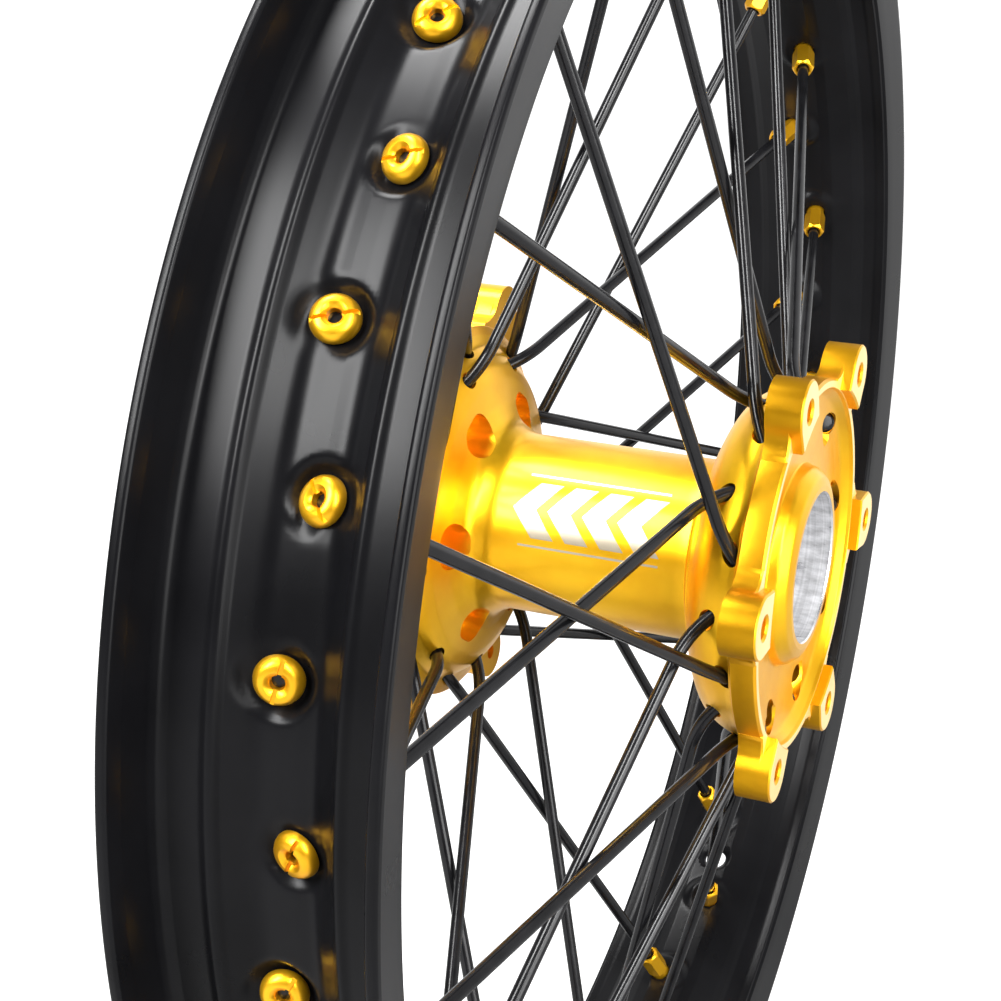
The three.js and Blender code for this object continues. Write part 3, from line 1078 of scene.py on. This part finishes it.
def small_parts():
    bearing("sprocket_side", SPROCKET_BEARING_Y, -1)
    bearing("disc_side", DISC_BEARING_Y, 1)
    circlip("circlip_sprocket_side", SPROCKET_BEARING_Y - CIRCLIP_OFFSET)
    circlip("circlip_disc_side", DISC_BEARING_Y + CIRCLIP_OFFSET)
    ring_piece("dust_seal_disc_side", "wheel", [
        (13, 67.7, 0.3), (15, 67.1, 0.3), (23.1, 67.1), (23.1, 70.1, 0.5), (21.4, 70.1, 0.5),
        (20.6, 69.2, 0.5), (16.4, 69.2, 0.8), (15, 70.1, 0.4), (13, 69.3, 0.4),
    ], RUBBER)
    start = SPROCKET_BEARING_Y + BEARING_HALF + SPACER_PLAY
    end = DISC_BEARING_Y - BEARING_HALF - SPACER_PLAY
    ring_piece("axle_spacer_tube", "axle_set", [
        (10.25, start, 0.4), (13, start, 0.4), (13, end, 0.4), (10.25, end, 0.4),
    ], RACE_STEEL)


rim_piece()
hub_piece()
spoke_pieces()
small_parts()


# ---------------------------------------------------------------- floor, lights, camera
def floor():
    """Flat pale floor: nearly white to the camera, soft grey in reflections, lit behind the wheel."""
    n = Nodes("pale_floor")
    colour = n.ramp(n.noise(3, 3), [(0.3, (0.3, 0.3, 0.305)), (0.7, (0.34, 0.34, 0.34))])
    behind = n.math("MULTIPLY", n.math("SUBTRACT", n.xyz()[0], 0.25, clamp=True), 0.7)
    seen = n.math("MULTIPLY", n.add("ShaderNodeLightPath").outputs["Is Camera Ray"], 0.9)
    glow = n.math("MAXIMUM", seen, behind)
    n.set(Base_Color=colour, Roughness=0.8, Emission_Color=(1.0, 1.0, 1.0), Emission_Strength=glow)
    reach = 6.0
    z = -RIM_R * MM - 0.002
    corners = [(-reach, -reach, z), (reach, -reach, z), (reach, reach, z), (-reach, reach, z)]
    mesh = bpy.data.meshes.new("floor")
    mesh.from_pydata(corners, [], [(0, 1, 2, 3)])
    obj = make("floor", mesh)
    paint(obj, n.mat)


def aim(obj, location, target, roll=0):
    """Puts a light or camera at a place and turns it to a target, rolled about its line of sight."""
    direction = Vector(target) - Vector(location)
    turn = direction.to_track_quat("-Z", "Y") @ Quaternion((0, 0, 1), math.radians(roll))
    obj.location = location
    obj.rotation_euler = turn.to_euler()


def area(name, location, target, size, power):
    """Rectangular light; size in metres and power in watts."""
    light = bpy.data.lights.new(name, "AREA")
    light.shape = "RECTANGLE"
    light.size, light.size_y = size
    light.energy = power
    aim(make(name, light), location, target)


def world():
    """White to the camera; reflections see a room that brightens towards +X, behind the wheel."""
    w = bpy.data.worlds.new("studio")
    bpy.context.scene.world = w
    w.use_nodes = True
    tree = w.node_tree

    def link(a, b):
        tree.links.new(a, b)

    split = tree.nodes.new("ShaderNodeSeparateXYZ")
    link(tree.nodes.new("ShaderNodeTexCoord").outputs["Generated"], split.inputs[0])
    behind = tree.nodes.new("ShaderNodeMapRange")
    behind.interpolation_type = "SMOOTHSTEP"
    for key, value in (("From Min", -0.1), ("From Max", 0.75), ("To Min", 0.08), ("To Max", 1.35)):
        behind.inputs[key].default_value = value
    link(split.outputs[0], behind.inputs[0])
    strongest = tree.nodes.new("ShaderNodeMath")
    strongest.operation = "MAXIMUM"
    link(behind.outputs[0], strongest.inputs[0])
    link(tree.nodes.new("ShaderNodeLightPath").outputs["Is Camera Ray"], strongest.inputs[1])
    background = tree.nodes["Background"]
    background.inputs[0].default_value = (1, 1, 1, 1)
    link(strongest.outputs[0], background.inputs[1])


def camera():
    """Placed and turned to the fit of the photo, with the lens shift that its crop needs."""
    cam = bpy.data.cameras.new("camera")
    obj = make("camera", cam)
    aim(obj, (-0.5441, -0.17947, 0.16791), (0, 0.0502, 0.00831), roll=2.596)
    cam.sensor_fit = "HORIZONTAL"
    cam.sensor_width = 36
    cam.lens = 66.748
    cam.shift_x = 0.013291
    cam.shift_y = -0.010083
    cam.clip_start = 0.01
    cam.clip_end = 30
    bpy.context.scene.camera = obj


bpy.context.scene.view_settings.view_transform = "Standard"
floor()
world()
area("left_softbox", (-1.15, 0.6, 0.86), (-0.1, 0, 0), (0.4, 1.0), 46)
area("right_softbox", (-0.93, -0.77, 0.84), (-0.2, 0, 0.1), (0.25, 0.9), 22)
area("top_softbox", (-0.12, 0.62, 1.45), (0, 0, 0), (0.6, 0.35), 24)
area("front_fill", (-0.7, -1.5, 0.35), (0, 0, 0), (1.2, 1.1), 34)
camera()

bpy.context.view_layer.update()
